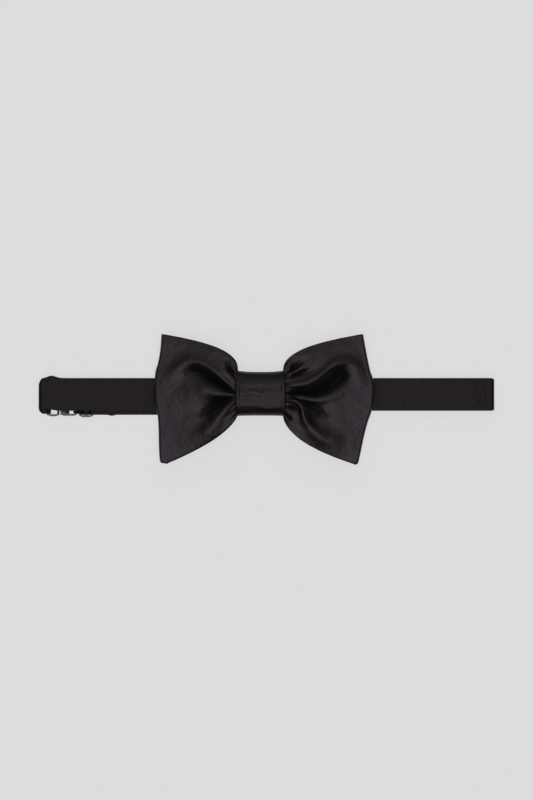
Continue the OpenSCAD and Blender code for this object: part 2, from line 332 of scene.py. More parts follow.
def cloth_grid(columns, rows, size_mm):
    """A grid with its UV map in millimetres, and its vertices' column and row numbers."""
    bm = bmesh.new()
    uv = bm.loops.layers.uv.new("UVMap")
    bmesh.ops.create_grid(bm, x_segments=columns, y_segments=rows, size=1, calc_uvs=True)
    for face in bm.faces:
        for loop in face.loops:
            loop[uv].uv = (loop[uv].uv[0] * size_mm[0], loop[uv].uv[1] * size_mm[1])
    at = np.array([v.co for v in bm.verts])
    column = np.rint((at[:, 0] + 1) / 2 * columns).astype(int)
    row = np.rint((at[:, 1] + 1) / 2 * rows).astype(int)
    return bm, column, row


def place(bm, points_mm):
    for vertex, point in zip(bm.verts, points_mm):
        vertex.co = Vector(point) * MM


def close_tube(bm, cap=True):
    """Joins a rolled-up grid along its seam, closes its ends and turns its faces outwards."""
    bmesh.ops.remove_doubles(bm, verts=bm.verts, dist=WELD_MM * MM)
    if cap:
        ends = [e for e in bm.edges if e.is_boundary]
        bmesh.ops.holes_fill(bm, edges=ends, sides=0)
        for edge in ends:
            edge.smooth = False
    bmesh.ops.recalc_face_normals(bm, faces=bm.faces)


def ripple(x, y, z, scale, seed=0.0):
    """Smooth noise from -1 to 1 at points in millimetres."""
    return np.array([
        noise.noise(Vector((a * scale + seed, b * scale - seed, c * scale)))
        for a, b, c in zip(x, y, z)
    ])


# ---- bow ------------------------------------------------------------------------------------


class Fold:
    """A ridge or a valley pressed into the cloth along a curve, in millimetres."""

    def __init__(self, points, height, width, roundness=2.0):
        self.points = self.curve(np.array(points, float))
        self.height = height
        self.width = width
        self.roundness = roundness

    @staticmethod
    def curve(p, steps=6):
        """The points joined by a smooth curve."""
        ends = np.vstack([2 * p[0] - p[1], p, 2 * p[-1] - p[-2]])
        out = []
        for i in range(len(p) - 1):
            a, b, c, d = ends[i:i + 4]
            for t in np.arange(steps) / steps:
                out.append(0.5 * (2 * b + (c - a) * t + (2 * a - 5 * b + 4 * c - d) * t * t
                                  + (3 * b - a - 3 * c + d) * t ** 3))
        return np.array([*out, p[-1]])

    def lift(self, x, y):
        """How far the fold raises the cloth at each point."""
        at = np.column_stack([x, y])
        best = np.full(len(at), 1e9)
        along = np.zeros(len(at))
        count = len(self.points) - 1
        for i in range(count):
            a, b = self.points[i], self.points[i + 1]
            d = b - a
            t = np.clip(((at - a) @ d) / (d @ d), 0, 1)
            gap = np.linalg.norm(at - a - t[:, None] * d, axis=1)
            near = gap < best
            best[near] = gap[near]
            along[near] = ((i + t) / count)[near]
        height = np.interp(along, np.linspace(0, 1, len(self.height)), self.height)
        width = np.interp(along, np.linspace(0, 1, len(self.width)), self.width)
        return height * np.exp(-(best / width) ** self.roundness)


# Each wing's folds run out from the knot. Heights and widths are given from the knot outwards.
LEFT_FOLDS = (
    Fold([(-14, 2.2), (-20, 7.2), (-26, 12.4), (-32, 16.2), (-38, 17.4), (-45, 13.6), (-52, 7)],
         (0.5, 1.4, 1.9, 1.9, 1.6, 1.1, 0.3), (1.3, 2.0, 2.6, 3.0, 3.6, 4.4)),
    Fold([(-13.4, -0.3), (-19.3, 3.4), (-26, 7.4), (-32, 10.4), (-37, 11.4), (-42, 9.6)],
         (-2.4, -3.6, -4.2, -3.8, -2.4, -0.4), (1.0, 1.9, 2.9, 3.8, 4.4), 1.05),
    Fold([(-14, -1), (-22, -0.4), (-31, 1.6), (-42, 1)], (0.3, 1.2, 1.2, 0.2), (1, 2.4, 4.2, 7)),
    Fold([(-13.4, -1.9), (-20, -3.6), (-26, -6.6), (-30.5, -10.6), (-33, -14)],
         (-2.2, -3.2, -3.6, -2.6, -0.3), (0.9, 1.8, 2.8, 3.6, 5), 1.05),
    Fold([(-15, -5), (-19.5, -9), (-24, -14.2), (-29, -21), (-37, -28)],
         (0.6, 1.2, 1.5, 1.2, 0.3), (1.3, 2.2, 3.2, 4.4, 6)),
    Fold([(-18.4, 18), (-16.6, 13.4), (-13.8, 8.8)], (-0.3, -1.8, -1.8), (1.4, 1.2, 0.9), 1.4),
    Fold([(-13.6, 6.6), (-20, 12), (-27, 18)], (0.5, 0.6, 0.1), (1.2, 2.2, 3.6)),
)
RIGHT_FOLDS = (
    Fold([(14, 4.0), (25, 5.6), (33.5, 10.0), (40, 15.4), (46, 17.2), (51, 14.5), (54, 8)],
         (0.5, 1.5, 2.0, 2.0, 1.8, 1.2, 0.4), (1.3, 2.2, 2.6, 3.0, 3.2, 3.8, 4.6)),
    Fold([(13.4, -0.1), (22, -0.2), (31, 0.8), (38, 4.0), (43.3, 8.0), (47.4, 12.4)],
         (-2.2, -3.4, -4.2, -4.6, -4.2, -0.6), (1.0, 1.8, 2.6, 3.2, 3.5, 3.4), 1.05),
    Fold([(22, -3.2), (30.4, -3.4), (38, -1.4), (46.7, 3.0), (51.5, 6.5)],
         (0.5, 1.1, 1.2, 0.9, 0.2), (1.2, 2.0, 2.8, 3.6, 4.4)),
    Fold([(18, -2.0), (22.5, -3.6), (28, -6.6), (33, -10), (37, -14)],
         (-0.6, -2.4, -3.2, -2.6, -0.3), (0.9, 1.5, 2.3, 3.2, 4.6), 1.05),
    Fold([(14, -3.8), (19.2, -4.0), (22.6, -7.4), (23.6, -12), (26.4, -17.6), (31.4, -22.6), (39, -26),
          (47, -26)],
         (0.7, 1.6, 1.9, 1.8, 1.6, 1.6, 1.3, 0.3), (0.9, 1.2, 1.5, 2.0, 2.8, 3.8, 5.0, 7)),
    Fold([(13.4, -7.4), (17, -8.0), (20.5, -9.0)], (-1.8, -2.2, -0.2), (0.8, 1.3, 1.4), 1.4),
    Fold([(13.4, -9.8), (15.4, -12.6), (16.8, -15.4)], (-1.6, -1.7, -0.2), (0.7, 1.0, 1.2), 1.4),
    Fold([(13.4, 9.4), (18, 13.4), (24, 18.4)], (-1.8, -2.5, -0.2), (0.9, 1.5, 1.9), 1.4),
    Fold([(13.6, 8.4), (21, 10.6), (29, 13.2)], (-1.4, -2.2, -0.2), (0.9, 1.5, 2.2), 1.4),
    Fold([(14, 11), (19, 12.2), (25.5, 15.8)], (0.3, 0.8, 0.1), (0.8, 1.2, 2)),
)
# The outer ends of the wings: share of the height from the middle, and distance out.
LEFT_END = ((-1, 51.3), (-0.97, 53.4), (-0.93, 54.7), (-0.72, 55.2), (-0.47, 55.4), (-0.32, 55.8),
            (-0.17, 57.0), (0.03, 57.7), (0.33, 57.2), (0.51, 55.7), (0.72, 54.5), (1, 53.8))
RIGHT_END = ((-1, 52.4), (-0.97, 53.5), (-0.77, 55.2), (-0.59, 56.6), (-0.39, 58.6), (-0.22, 60.9),
             (-0.02, 62.1), (0.21, 61.8), (0.37, 60.1), (0.63, 58.3), (1, 56.2))


class Bow:
    """The bow's outline and surface, worked out from its frame nodes."""

    def __init__(self, sizes):
        low, high = box_mm("bow_front")
        back_low, _ = box_mm("bow_back")
        knot_low, knot_high = box_mm("knot_wrap")
        self.sizes = sizes
        self.neck = knot_high[0]
        self.ends = {-1: Fold.curve(np.array(LEFT_END)), 1: Fold.curve(np.array(RIGHT_END))}
        for side, widest in ((-1, -low[0]), (1, high[0])):
            self.ends[side][:, 1] *= widest / self.ends[side][:, 1].max()
        self.top = high[1]
        self.drop = -low[1]
        self.waist = (knot_high[1] - knot_low[1]) / 2 - 2.1
        self.back_z = back_low[2] + sizes.satin / 2
        self.waist_top = high[2] - sizes.satin / 2
        self.lean = {-1: (0.31, 0.58), 1: (0.33, 0.45)}

    def edge(self, side, v):
        """The outer fold's distance from the knot's middle."""
        return np.interp(v, self.ends[side][:, 0], self.ends[side][:, 1])

    def spread(self, side, x, v):
        """Height of a point on the cloth: the open edges fan out from the knot."""
        out = {}
        for sign, full, power in ((1, self.top, self.lean[side][0]), (-1, self.drop, self.lean[side][1])):
            corner = float(self.edge(side, sign * 0.97))
            t = np.clip((x - self.neck + 0.9) / (corner - self.neck + 0.9), 0, 1.15)
            out[sign] = self.waist + (full - self.waist) * t ** power
        return v * np.where(v > 0, out[1], out[-1])

    def base(self, side, x, v):
        """Front cloth over the back cloth, before its folds."""
        edge = self.edge(side, v)
        u = np.clip((x - self.neck) / (edge - self.neck), 0, 1)
        full = mix(self.sizes.fullness, 2 * self.sizes.edge_roll, smooth_step(u ** 0.8))
        swell = 1.2 * np.sin(np.pi * u ** 0.6) * (1 - np.abs(v) ** 3)
        return (full + swell) * (1 - 0.1 * np.abs(v) ** 7 * np.sin(np.pi * u) ** 0.7)

    def droop(self, side, x, v):
        """The unsupported top and bottom of the wings hang back a little."""
        u = np.clip((x - self.neck) / (self.edge(side, v) - self.neck), 0, 1)
        return -0.7 * np.abs(v) ** 2.5 * u + 0.5 * np.sin(np.pi * u) * np.abs(v) ** 3


def bow_stations():
    """Columns from the back's middle, round the left fold, over the front, round the right, and back.

    Each is (side, layer, place): place runs 0 to 1 from the middle to the fold on a flat layer, and is
    the turned angle on a fold."""
    near = [t * 0.2 for t in np.linspace(0, 1, 5)[:-1]]
    flat = [*near, *np.linspace(0.2, 0.3, 15)[:-1], *np.linspace(0.3, 0.55, 31)[:-1],
            *np.linspace(0.55, 1, 50)]
    back = [*np.linspace(0, 0.2, 5)[:-1], *np.linspace(0.2, 1, 52)]
    turn = np.linspace(0, math.pi, 13)[1:-1]
    half = [("front", t) for t in flat] + [("turn", a) for a in turn] + [("back", t) for t in back[::-1]]
    left = [(-1, layer, t) for layer, t in half[::-1]]
    return left + [(1, layer, t) for layer, t in half[1:]]


def make_bow(sizes, material):
    """One loop of satin: both wings, front and back, gathered in the middle."""
    bow = Bow(sizes)
    stations = bow_stations()
    length, height = 2 * sum(float(bow.edge(side, 0)) for side in (-1, 1)), bow.top + bow.drop
    bm, column, row = cloth_grid(len(stations) - 1, sizes.rows, (length, height))
    v = row / sizes.rows * 2 - 1
    v = v * (0.75 + 0.25 * v * v)  # closer rows among the folds
    side = np.array([s[0] for s in stations])[column]
    kind = np.array([s[1] for s in stations])[column]
    place_at = np.array([s[2] for s in stations])[column]
    points = np.zeros((len(v), 3))
    for s, folds in ((-1, LEFT_FOLDS), (1, RIGHT_FOLDS)):
        for layer in ("front", "turn", "back"):
            pick = (side == s) & (kind == layer)
            points[pick] = wing_points(bow, s, layer, place_at[pick], v[pick], folds)
    place(bm, points)
    bmesh.ops.remove_doubles(bm, verts=bm.verts, dist=0.001 * MM)
    bmesh.ops.recalc_face_normals(bm, faces=bm.faces)
    piece = add_object("bow", bm, material, "bow")
    thicken(piece, sizes.satin)
    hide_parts("bow_front", "bow_back", "bow_front_interlining", "bow_back_interlining")
    length * MM
    height * MM
    round(length * height * CUT_SHARE * MM * MM, 6)


def thicken(piece, thickness_mm, offset=0.0):
    """Gives a sheet its thickness, half on each side."""
    solid = piece.modifiers.new("thickness", "SOLIDIFY")
    solid.thickness = thickness_mm * MM
    solid.offset = offset
    solid.use_even_offset = False
    solid.use_quality_normals = True


def wing_points(bow, side, layer, t, v, folds):
    """Points of one layer of one wing, in millimetres."""
    roll = bow.sizes.edge_roll * 0.4
    edge = bow.edge(side, v) - bow.sizes.satin / 2
    flat_end = edge - roll
    if layer == "turn":
        x = flat_end + roll * np.sin(t)
        front_share = (1 + np.cos(t)) / 2
    else:
        # the first fifth of the columns lies inside the knot
        x = np.where(t < 0.2, t / 0.2 * (bow.neck - 1), mix(bow.neck - 1, flat_end, (t - 0.2) / 0.8))
        front_share = np.full(len(t), 1.0 if layer == "front" else 0.0)
    y = bow.spread(side, np.minimum(x, flat_end), v)
    out = np.clip((x - bow.neck) / (edge - bow.neck), 0, 1)
    back = bow.back_z + bow.droop(side, x, v)
    near = np.clip((x - bow.neck + 1) / 5, 0, 1)
    pinch = 1 - smooth_step((x - bow.neck + 1) / 9)
    lift = sum(f.lift(side * x, y) for f in folds) * bow.sizes.fold_depth
    lift = lift + 0.16 * ripple(side * x, y, 0 * x, 0.16, 3.1) * near
    lift = lift + 0.07 * ripple(side * x, y, 0 * x, 0.45, 7.7) * near
    fading = np.exp(-np.maximum(x - bow.neck, 0) / 5)
    gathers = 0.22 * smooth_step(np.abs(v) / 0.7) * np.sin(v * 31 + side) * fading
    inner = 1 - smooth_step((out - 0.9) / 0.1)
    height = bow.base(side, x, v) + (lift * (0.25 + 0.75 * near) + gathers) * inner
    height = np.maximum(height, 0.9 + 0.6 * (1 - np.abs(v)))
    inside = smooth_step((bow.neck - x) / 2)
    waist = (bow.waist_top - bow.back_z) * (1 - 0.9 * np.abs(v) ** 2.7) ** 0.375 * 0.94
    height = mix(height, waist, inside)
    behind = back + pinch * (0.5 * np.sin(v * 23) + 0.8 * (1 - v * v))
    z = behind + front_share * np.maximum(height - (behind - back), 0.9)
    return np.column_stack([side * x, y, z])


class TIE_OT_bow(bpy.types.Operator):
    """Makes the bow's loop of satin with its gathered folds"""

    bl_idname = "tie.bow"
    bl_label = "Bow"

    def execute(self, context):
        colours, sizes = context.scene.tie_colours, in_mm(context.scene.tie_sizes)
        make_bow(sizes, satin("bow satin", colours.satin, 0.35, 0.3))
        return {"FINISHED"}


# ---- knot -----------------------------------------------------------------------------------

THREAD_TURNS = 4
THREAD_MM = 0.4
WAIST_HALF = (10.45, 4.85)  # half the height and half the depth of the thread's turns
KNOT_CREASES = (
    Fold([(-13, 1.2), (-8, 0.2), (-4, 1.0), (1, -0.4), (6, 0.8), (13, 0.2)],
         (0.1, 0.34, 0.16, 0.34, 0.2, 0.1), (1.3, 1.6, 1.2, 1.5, 1.2)),
    Fold([(-12, -3.0), (-5, -1.8), (1, -3.4), (6, -2.2), (12, -3.4)],
         (-0.1, -0.3, -0.1, -0.28, -0.1), (0.9, 1.2, 1)),
    Fold([(-9, 3.6), (-3, 2.6), (3, 3.8), (8, 3)], (-0.04, -0.2, -0.14, -0.04), (0.9, 1.2, 0.9)),
    Fold([(-13, 7), (-5, 6.2), (4, 7.4), (13, 6.6)], (0.1, 0.2, 0.14, 0.1), (1.6, 2.0, 1.6)),
    Fold([(-12, -7.4), (-4, -6.4), (5, -7.8), (12, -7)], (0.05, 0.2, 0.2, 0.05), (1.2, 1.6, 1.3)),
    Fold([(-12.2, 11), (-12.0, 3), (-12.4, -4), (-11.9, -11)], (-0.1, -0.25, -0.2, -0.1), (0.5, 0.7, 0.5)),
    Fold([(12.0, 11), (12.2, 3), (12.0, -4), (12.2, -11)], (-0.15, -0.2, -0.25, -0.1), (0.5, 0.7, 0.5)),
)


def rounded_section(angle, half_y, half_z, front=0.76, back=0.5):
    """Across and up, round a soft bundle that is crowned in front and flatter at the back."""
    c, s = np.cos(angle), np.sin(angle)
    power = np.where(s > 0, front, back)
    return np.sign(c) * np.abs(c) ** power * half_y, np.sign(s) * np.abs(s) ** power * half_z


def make_knot(sizes, material):
    """The wrap: a sleeve of satin round the waist, with turned-in edges and shallow creases."""
    low, high = box_mm("knot_wrap")
    around, along = 160, 64
    half_y, half_z = (high[1] - low[1]) / 2, (high[2] - low[2]) / 2
    middle_z, half_x = (high[2] + low[2]) / 2, (high[0] - low[0]) / 2
    bm, column, row = cloth_grid(around, along, (2 * math.pi * half_y * 0.8, 2 * half_x))
    angle = column / around * 2 * math.pi
    turn_rows = 6
    k = (row - turn_rows) / (along - 2 * turn_rows)
    flat = np.clip(k, 0, 1) * 2 - 1
    # past each edge the cloth rolls inwards over the hem
    over = np.where(row < turn_rows, turn_rows - row, np.maximum(row - along + turn_rows, 0)) / turn_rows
    roll = over * math.pi * 0.9
    x = flat * (half_x - sizes.hem) + np.sign(flat) * sizes.hem * np.sin(roll)
    inwards = sizes.hem * (1 - np.cos(roll))
    flare = np.abs(flat) ** 3
    upper = np.cos(angle) > 0
    reach = np.where(upper, half_y - 0.35 + 0.85 * flare, half_y - 0.05 + 0.2 * flare)
    y, z = rounded_section(angle, reach, half_z)
    front = np.clip(np.sin(angle), 0, 1) ** 0.5
    crease = sum(f.lift(x, y) for f in KNOT_CREASES)
    uneven = 0.16 * ripple(x, y, 0 * x, 0.2, 1.7) + 0.08 * ripple(x, y, 0 * x, 0.5, 4.4)
    z = z + front * (crease + uneven - 0.3)
    length = np.hypot(y, z)
    y, z = y * (1 - inwards / length), z * (1 - inwards / length)
    place(bm, np.column_stack([x, y, middle_z + z]))
    close_tube(bm, cap=False)
    piece = add_object("knot", bm, material, "bow")
    thicken(piece, 0.5, -1.0)
    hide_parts("knot_wrap")
    2 * half_x * MM
    4 * (half_y + half_z) * GIRTH_SHARE * MM


def make_knot_filling(lining, thread):
    """The pad that rounds the front of the knot, and the thread that gathers the bow's waist."""
    low, high = box_mm("knot_wrap")
    middle_z, half_y, half_z = (high[2] + low[2]) / 2, (high[1] - low[1]) / 2, (high[2] - low[2]) / 2
    pad_low, pad_high = box_mm("knot_pad")
    length = pad_high[0] - pad_low[0]
    bm, column, row = cloth_grid(40, 24, (pad_high[1] - pad_low[1], length))
    angle = math.radians(28) + column / 40 * math.radians(124)
    y, z = rounded_section(angle, half_y - 1.1, half_z - 1.1)
    x = (row / 24 - 0.5) * length
    place(bm, np.column_stack([x, y, middle_z + z]))
    bmesh.ops.recalc_face_normals(bm, faces=bm.faces)
    pad = add_object("knot_pad_cloth", bm, lining, "bow")
    thicken(pad, pad_high[2] - pad_low[2])
    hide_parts("knot_pad")
    thread_low, thread_high = box_mm("gathering_thread")
    spacing = (thread_high[0] - thread_low[0] - THREAD_MM) / (THREAD_TURNS - 1)
    turns = bmesh.new()
    for i in range(THREAD_TURNS):
        bm, column, row = cloth_grid(120, 10, (60, 1.3))
        angle, around = column / 120 * 2 * math.pi, row / 10 * 2 * math.pi
        swell = THREAD_MM / 2 * np.cos(around)
        y, z = rounded_section(angle, WAIST_HALF[0] + swell, WAIST_HALF[1] + swell, back=0.34)
        x = thread_low[0] + THREAD_MM / 2 + i * spacing + THREAD_MM / 2 * np.sin(around)
        place(bm, np.column_stack([x, y, thread_low[2] + THREAD_MM / 2 + WAIST_HALF[1] + z]))
        close_tube(bm, cap=False)
        made = bpy.data.meshes.new("turn")
        bm.to_mesh(made)
        bm.free()
        turns.from_mesh(made)
        bpy.data.meshes.remove(made)
    piece = add_object("gathering_thread_turns", turns, thread, "bow")
    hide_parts("gathering_thread")


class TIE_OT_knot(bpy.types.Operator):
    """Makes the wrap round the middle of the bow"""

    bl_idname = "tie.knot"
    bl_label = "Knot"

    def execute(self, context):
        colours, sizes = context.scene.tie_colours, in_mm(context.scene.tie_sizes)
        make_knot(sizes, satin("knot satin", colours.satin, 0.36, 0.3, gloss=0.3))
        make_knot_filling(inner_finish("interlining"), inner_finish("thread"))
        return {"FINISHED"}


# ---- strap ----------------------------------------------------------------------------------

SECTION = 44  # points round the strap
TURN_POWER = 0.6  # under 1 flattens the end of a turn
BLEND_REACH = 1.15  # a reach past the turn's radius, as a share of that radius
NOTCH_X, NOTCH_MM = -82, 0.55  # place and depth of the bump in the rear layer's lower edge
EASE_X = 60  # the rear layer starts to shift towards the slider this far left of the middle


EYE_X = joint_mm("eye_swivel")[0]
LEFT_X = joint_mm("left_fold")[0]
RIGHT_X = joint_mm("right_fold")[0]
TURN_Z = joint_mm("right_fold")[2]
WING_X = (-box_mm("bow_front")[0][0], box_mm("bow_front")[1][0])


def stadium(width, thickness):
    """Offsets across and up, round a flat strap with rounded edges."""
    r = thickness / 2
    run, bend = width - thickness, math.pi * r
    out = []
    quarter = SECTION // 4
    for part in range(4):
        for i in range(quarter):
            t = i / quarter
            if part == 0:
                out.append((run / 2 - run * t, r))
            elif part == 1:
                out.append((-run / 2 - r * math.sin(math.pi * t), r * math.cos(math.pi * t)))
            elif part == 2:
                out.append((-run / 2 + run * t, -r))
            else:
                out.append((run / 2 + r * math.sin(math.pi * t), -r * math.cos(math.pi * t)))
    return np.array([*out, out[0]])


def make_strap(name, line, edges, thickness, material, texture_at=0.0, shape=None):
    """A flat tube of satin along a line of (x, z), between two edges (low y, high y) at each point."""
    line, edges = np.array(line, float), np.array(edges, float)
    step = np.linalg.norm(np.diff(line, axis=0), axis=1)
    length = step.sum()
    bm, column, row = cloth_grid(len(line) - 1, SECTION, (length, 2 * (edges[0, 1] - edges[0, 0])))
    direction = np.gradient(line, axis=0)
    direction /= np.linalg.norm(direction, axis=1)[:, None]
    normal = np.column_stack([-direction[:, 1], direction[:, 0]])
    width = edges[:, 1] - edges[:, 0]
    full = float(width.max())
    section = stadium(full, thickness)[row]
    share = section[:, 0] / full + 0.5
    y = mix(edges[column, 0], edges[column, 1], share)
    at = line[column] + normal[column] * section[:, 1][:, None]
    points = np.column_stack([at[:, 0], y, at[:, 1]])
    if shape is not None:
        points = shape(points, column, normal[column], share)
    place(bm, points)
    uv = bm.loops.layers.uv.active
    for face in bm.faces:
        for loop in face.loops:
            loop[uv].uv.x += texture_at
    close_tube(bm)
    return add_object(name, bm, material)


def soften(points, column, normal, share, strength=0.07):
    """Slight unevenness of a pressed strap."""
    x, y, z = points.T
    wave = ripple(x, y * 0.6, z, 0.09, 5.3) * strength + ripple(x, y, z, 0.3, 9.1) * strength * 0.4
    return points + np.column_stack([normal[:, 0], 0 * x, normal[:, 1]]) * wave[:, None]


def gauss(x, centre, width):
    return np.exp(-((x - centre) / width) ** 2)


def front_shape(points, column, normal, share):
    """The front layer: a bulge over the eye's end, pressed marks, and a dip beside each wing."""
    points = soften(points, column, normal, share)
    x, y, z = points.T
    upper = smooth_step((z - TURN_Z) / 2)
    bulge = gauss(x, EYE_X + 2.2, 3.2) * upper
    top = smooth_step((share - 0.55) / 0.45)
    y = y + 1.4 * bulge * top
    z = z + 0.5 * bulge * top
    for i in range(4):
        slope = gauss(x + 0.9 * (y - 5), EYE_X - 2 + 2.6 * i, 0.7)
        z = z - 0.22 * slope * smooth_step((y - 1.5) / 4) * smooth_step((EYE_X + 10 - x) / 3) * upper
    z = z - 0.3 * gauss(x + 0.04 * y, RIGHT_X - 6.0, 1.1) * (0.75 + 0.25 * np.sin(1.9 * y)) * upper
    z = z + 0.2 * gauss(x, RIGHT_X - 3.6, 1.6) * upper
    for edge in (-WING_X[0], WING_X[1]):
        beside = np.abs(x) - abs(edge)
        same_side = np.sign(x) == np.sign(edge)
        z = z - 0.65 * smooth_step((5.5 - beside) / 6.5) * same_side * smooth_step((beside + 20) / 12)
    return np.column_stack([x, y, z])


def strap_finish(context):
    """The band's satin, made once and shared by its lengths."""
    made = bpy.data.materials.get("band satin")
    return made or satin("band satin", context.scene.tie_colours.strap, 0.46, 0.28, sheen=0.03, bump=0.5,
                         gloss=0.25, grain=2.4)


def node_edges(node):
    low, high = box_mm(node)
    return low[1], high[1]


class TIE_OT_front_band(bpy.types.Operator):
    """Makes the front layer of the neck band"""

    bl_idname = "tie.front_band"
    bl_label = "Front band"

    def execute(self, context):
        for node, name, material, slot in (
            ("front_band", "band_front", strap_finish(context), "band_satin"),
            ("front_band_interlining", "band_front_interlining", inner_finish("interlining"), "interlining"),
        ):
            low, high = box_mm(node)
            z = (low[2] + high[2]) / 2
            xs = np.linspace(low[0], high[0], 420)
            near_left = smooth_step((low[0] + 9 - xs) / 9)
            edges = np.column_stack([low[1] + LEFT_LOW_IN * near_left, high[1] - LEFT_HIGH_IN * near_left])
            band = make_strap(name, [(x, z) for x in xs], edges, high[2] - low[2], material,
                              shape=front_shape)
            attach(band, "bow")
            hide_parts(node)
        return {"FINISHED"}


def make_turn(name, node, side, axis_x, front, rear, pinch, context):
    """The strap's turn at one end, from the front layer's edges to the rear layer's."""
    low, high = box_mm(node)
    outer = (high[2] - low[2]) / 2
    thickness = box_mm("front_band")[1][2] - box_mm("front_band")[0][2]
    radius = outer - thickness / 2
    angles = np.linspace(math.pi / 2, -math.pi / 2, 29)
    lead = high[0] - axis_x if side < 0 else axis_x - low[0]
    arc = [
        (axis_x + side * (radius * max(math.cos(a), 0) ** TURN_POWER + 0.15),
         TURN_Z + radius * math.copysign(abs(math.sin(a)) ** TURN_POWER, a))
        for a in angles
    ]
    line = [(axis_x - side * lead, TURN_Z + radius), *arc, (axis_x - side * lead, TURN_Z - radius)]
    t = np.array([0, *np.linspace(0, 1, len(arc)), 1])
    middle = np.sin(t * math.pi) ** 2
    edges = np.column_stack([
        mix(front[0], rear[0], smooth_step(t)) + pinch[0] * middle,
        mix(front[1], rear[1], smooth_step(t)) - pinch[1] * middle,
    ])
    turn = make_strap(name, line, edges, thickness, strap_finish(context),
                      texture_at=axis_x, shape=front_shape)
    axis_x * MM
    (TURN_Z + radius * BLEND_REACH) * MM
    axis_x * MM
    (TURN_Z - radius * BLEND_REACH) * MM
    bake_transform(turn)
    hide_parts(node)


class TIE_OT_turns(bpy.types.Operator):
    """Makes the two turns that join the band's front and rear layers"""

    bl_idname = "tie.turns"
    bl_label = "Turns"

    def execute(self, context):
        front = node_edges("front_band")
        left_front = (front[0] + LEFT_LOW_IN, front[1] - LEFT_HIGH_IN)
        eye_edges, rear_edges = node_edges("eye_loop"), node_edges("rear_band")
        make_turn("turn_left", "left_turn", -1, LEFT_X, left_front, eye_edges, (0.9, 3.2), context)
        make_turn("turn_right", "right_turn", 1, RIGHT_X, front, rear_edges, (0.4, 0.6), context)
        return {"FINISHED"}


class TIE_OT_rear_band(bpy.types.Operator):
    """Makes the rear layer of the neck band, with the stretches that the slider takes up"""

    bl_idname = "tie.rear_band"
    bl_label = "Rear band"

    def execute(self, context):
        material = strap_finish(context)
        fixed_low, fixed_high = box_mm("rear_band")
        run_low, run_high = box_mm("rear_run")
        z = (fixed_low[2] + fixed_high[2]) / 2
        thickness = fixed_high[2] - fixed_low[2]
        fixed = make_strap("band_rear", [(x, z) for x in np.linspace(fixed_low[0], fixed_high[0], 90)],
                           [(fixed_low[1], fixed_high[1])] * 90, thickness, material,
                           shape=soften)
        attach(fixed, "rear")
        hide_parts("rear_band")
        xs = np.linspace(run_low[0], run_high[0], 300)
        slider_edges = node_edges("run_in_slider")
        ease = smooth_step((xs + EASE_X) / (run_high[0] + EASE_X))
        pucker = NOTCH_MM * gauss(xs, NOTCH_X, 1.6)
        low_edge = mix(slider_edges[0], fixed_low[1], ease) - pucker
        high_edge = mix(slider_edges[1], fixed_high[1], ease)
        lining_low, lining_high = box_mm("rear_run_interlining")
        for name, node, inset, thick, finish, slot in (
            ("band_run", "rear_run", 0, thickness, material, "band_satin"),
            ("band_run_interlining", "rear_run_interlining", fixed_high[1] - lining_high[1],
             lining_high[2] - lining_low[2], inner_finish("interlining"), "interlining"),
        ):
            edges = np.column_stack([low_edge + inset, high_edge - inset])
            run = make_strap(name, [(x, z) for x in xs], edges, thick, finish,
                             texture_at=40, shape=soften)
            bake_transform(run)
            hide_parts(node)
        low, high = box_mm("return_run")
        middle = (low[2] + high[2]) / 2
        back = make_strap("band_return", [(x, middle) for x in np.linspace(low[0], high[0], 24)],
                          [(low[1], high[1])] * 24, high[2] - low[2], material, texture_at=80)
        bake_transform(back)
        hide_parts("return_run")
        low, high = box_mm("draw_run")
        hook_high = box_mm("hook_loop")[1]
        xs = np.linspace(hook_high[0] - 0.1, high[0], 24)
        zs = np.linspace(high[2] - 0.25, low[2] + 0.4, 24)
        draw = make_strap("band_draw", list(zip(xs, zs)), [(low[1], high[1])] * 24, 0.7, material,
                          texture_at=90)
        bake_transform(draw)
        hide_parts("draw_run")
        return {"FINISHED"}


# ---- pieces that keep their frame shape, softened -------------------------------------------


def softened_copy(node, name, body, material, with_uv=False):
    """A merged copy of a frame node with its edges rounded."""
    bm = bmesh.new()
    bm.from_mesh(frame["nodes"][node].data)
    bmesh.ops.remove_doubles(bm, verts=bm.verts, dist=WELD_MM * MM)
    bmesh.ops.dissolve_limit(bm, angle_limit=math.radians(1), verts=bm.verts, edges=bm.edges)
    if with_uv:
        uv = bm.loops.layers.uv.new("UVMap")
        for face in bm.faces:
            for loop in face.loops:
                co = loop.vert.co / MM
                loop[uv].uv = (co.x + co.z, co.y)
    sharp = [e for e in bm.edges if len(e.link_faces) == 2 and e.calc_face_angle(0) > math.radians(32)]
    bmesh.ops.bevel(bm, geom=sharp, offset=EDGE_MM * MM, offset_type="OFFSET", segments=EDGE_SEGMENTS,
                    profile=0.5, affect="EDGES", clamp_overlap=True, material=-1)
    bmesh.ops.remove_doubles(bm, verts=bm.verts, dist=0.001 * MM)
    piece = add_object(name, bm, material, body)
    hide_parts(node)
    return piece


class TIE_OT_loops(bpy.types.Operator):
    """Makes the strap's loops on the bars of the eye, the hook and the slider"""

    bl_idname = "tie.loops"
    bl_label = "Strap loops"

    def execute(self, context):
        material = strap_finish(context)
        for node, body in (("eye_loop", "eye_end"), ("hook_loop", "hook_end"), ("slider_loop", "slider"),
                           ("run_in_slider", "slider")):
            softened_copy(node, "strap_" + node, body, material, with_uv=True)
        return {"FINISHED"}


class TIE_OT_fittings(bpy.types.Operator):
    """Makes the eye, the hook and the slider"""

    bl_idname = "tie.fittings"
    bl_label = "Fittings"

    def execute(self, context):
        metal = black_nickel("black nickel", context.scene.tie_colours.metal)
        for node in ("eye", "hook", "slider"):
            softened_copy(node, "fitting_" + node, node, metal)
        return {"FINISHED"}


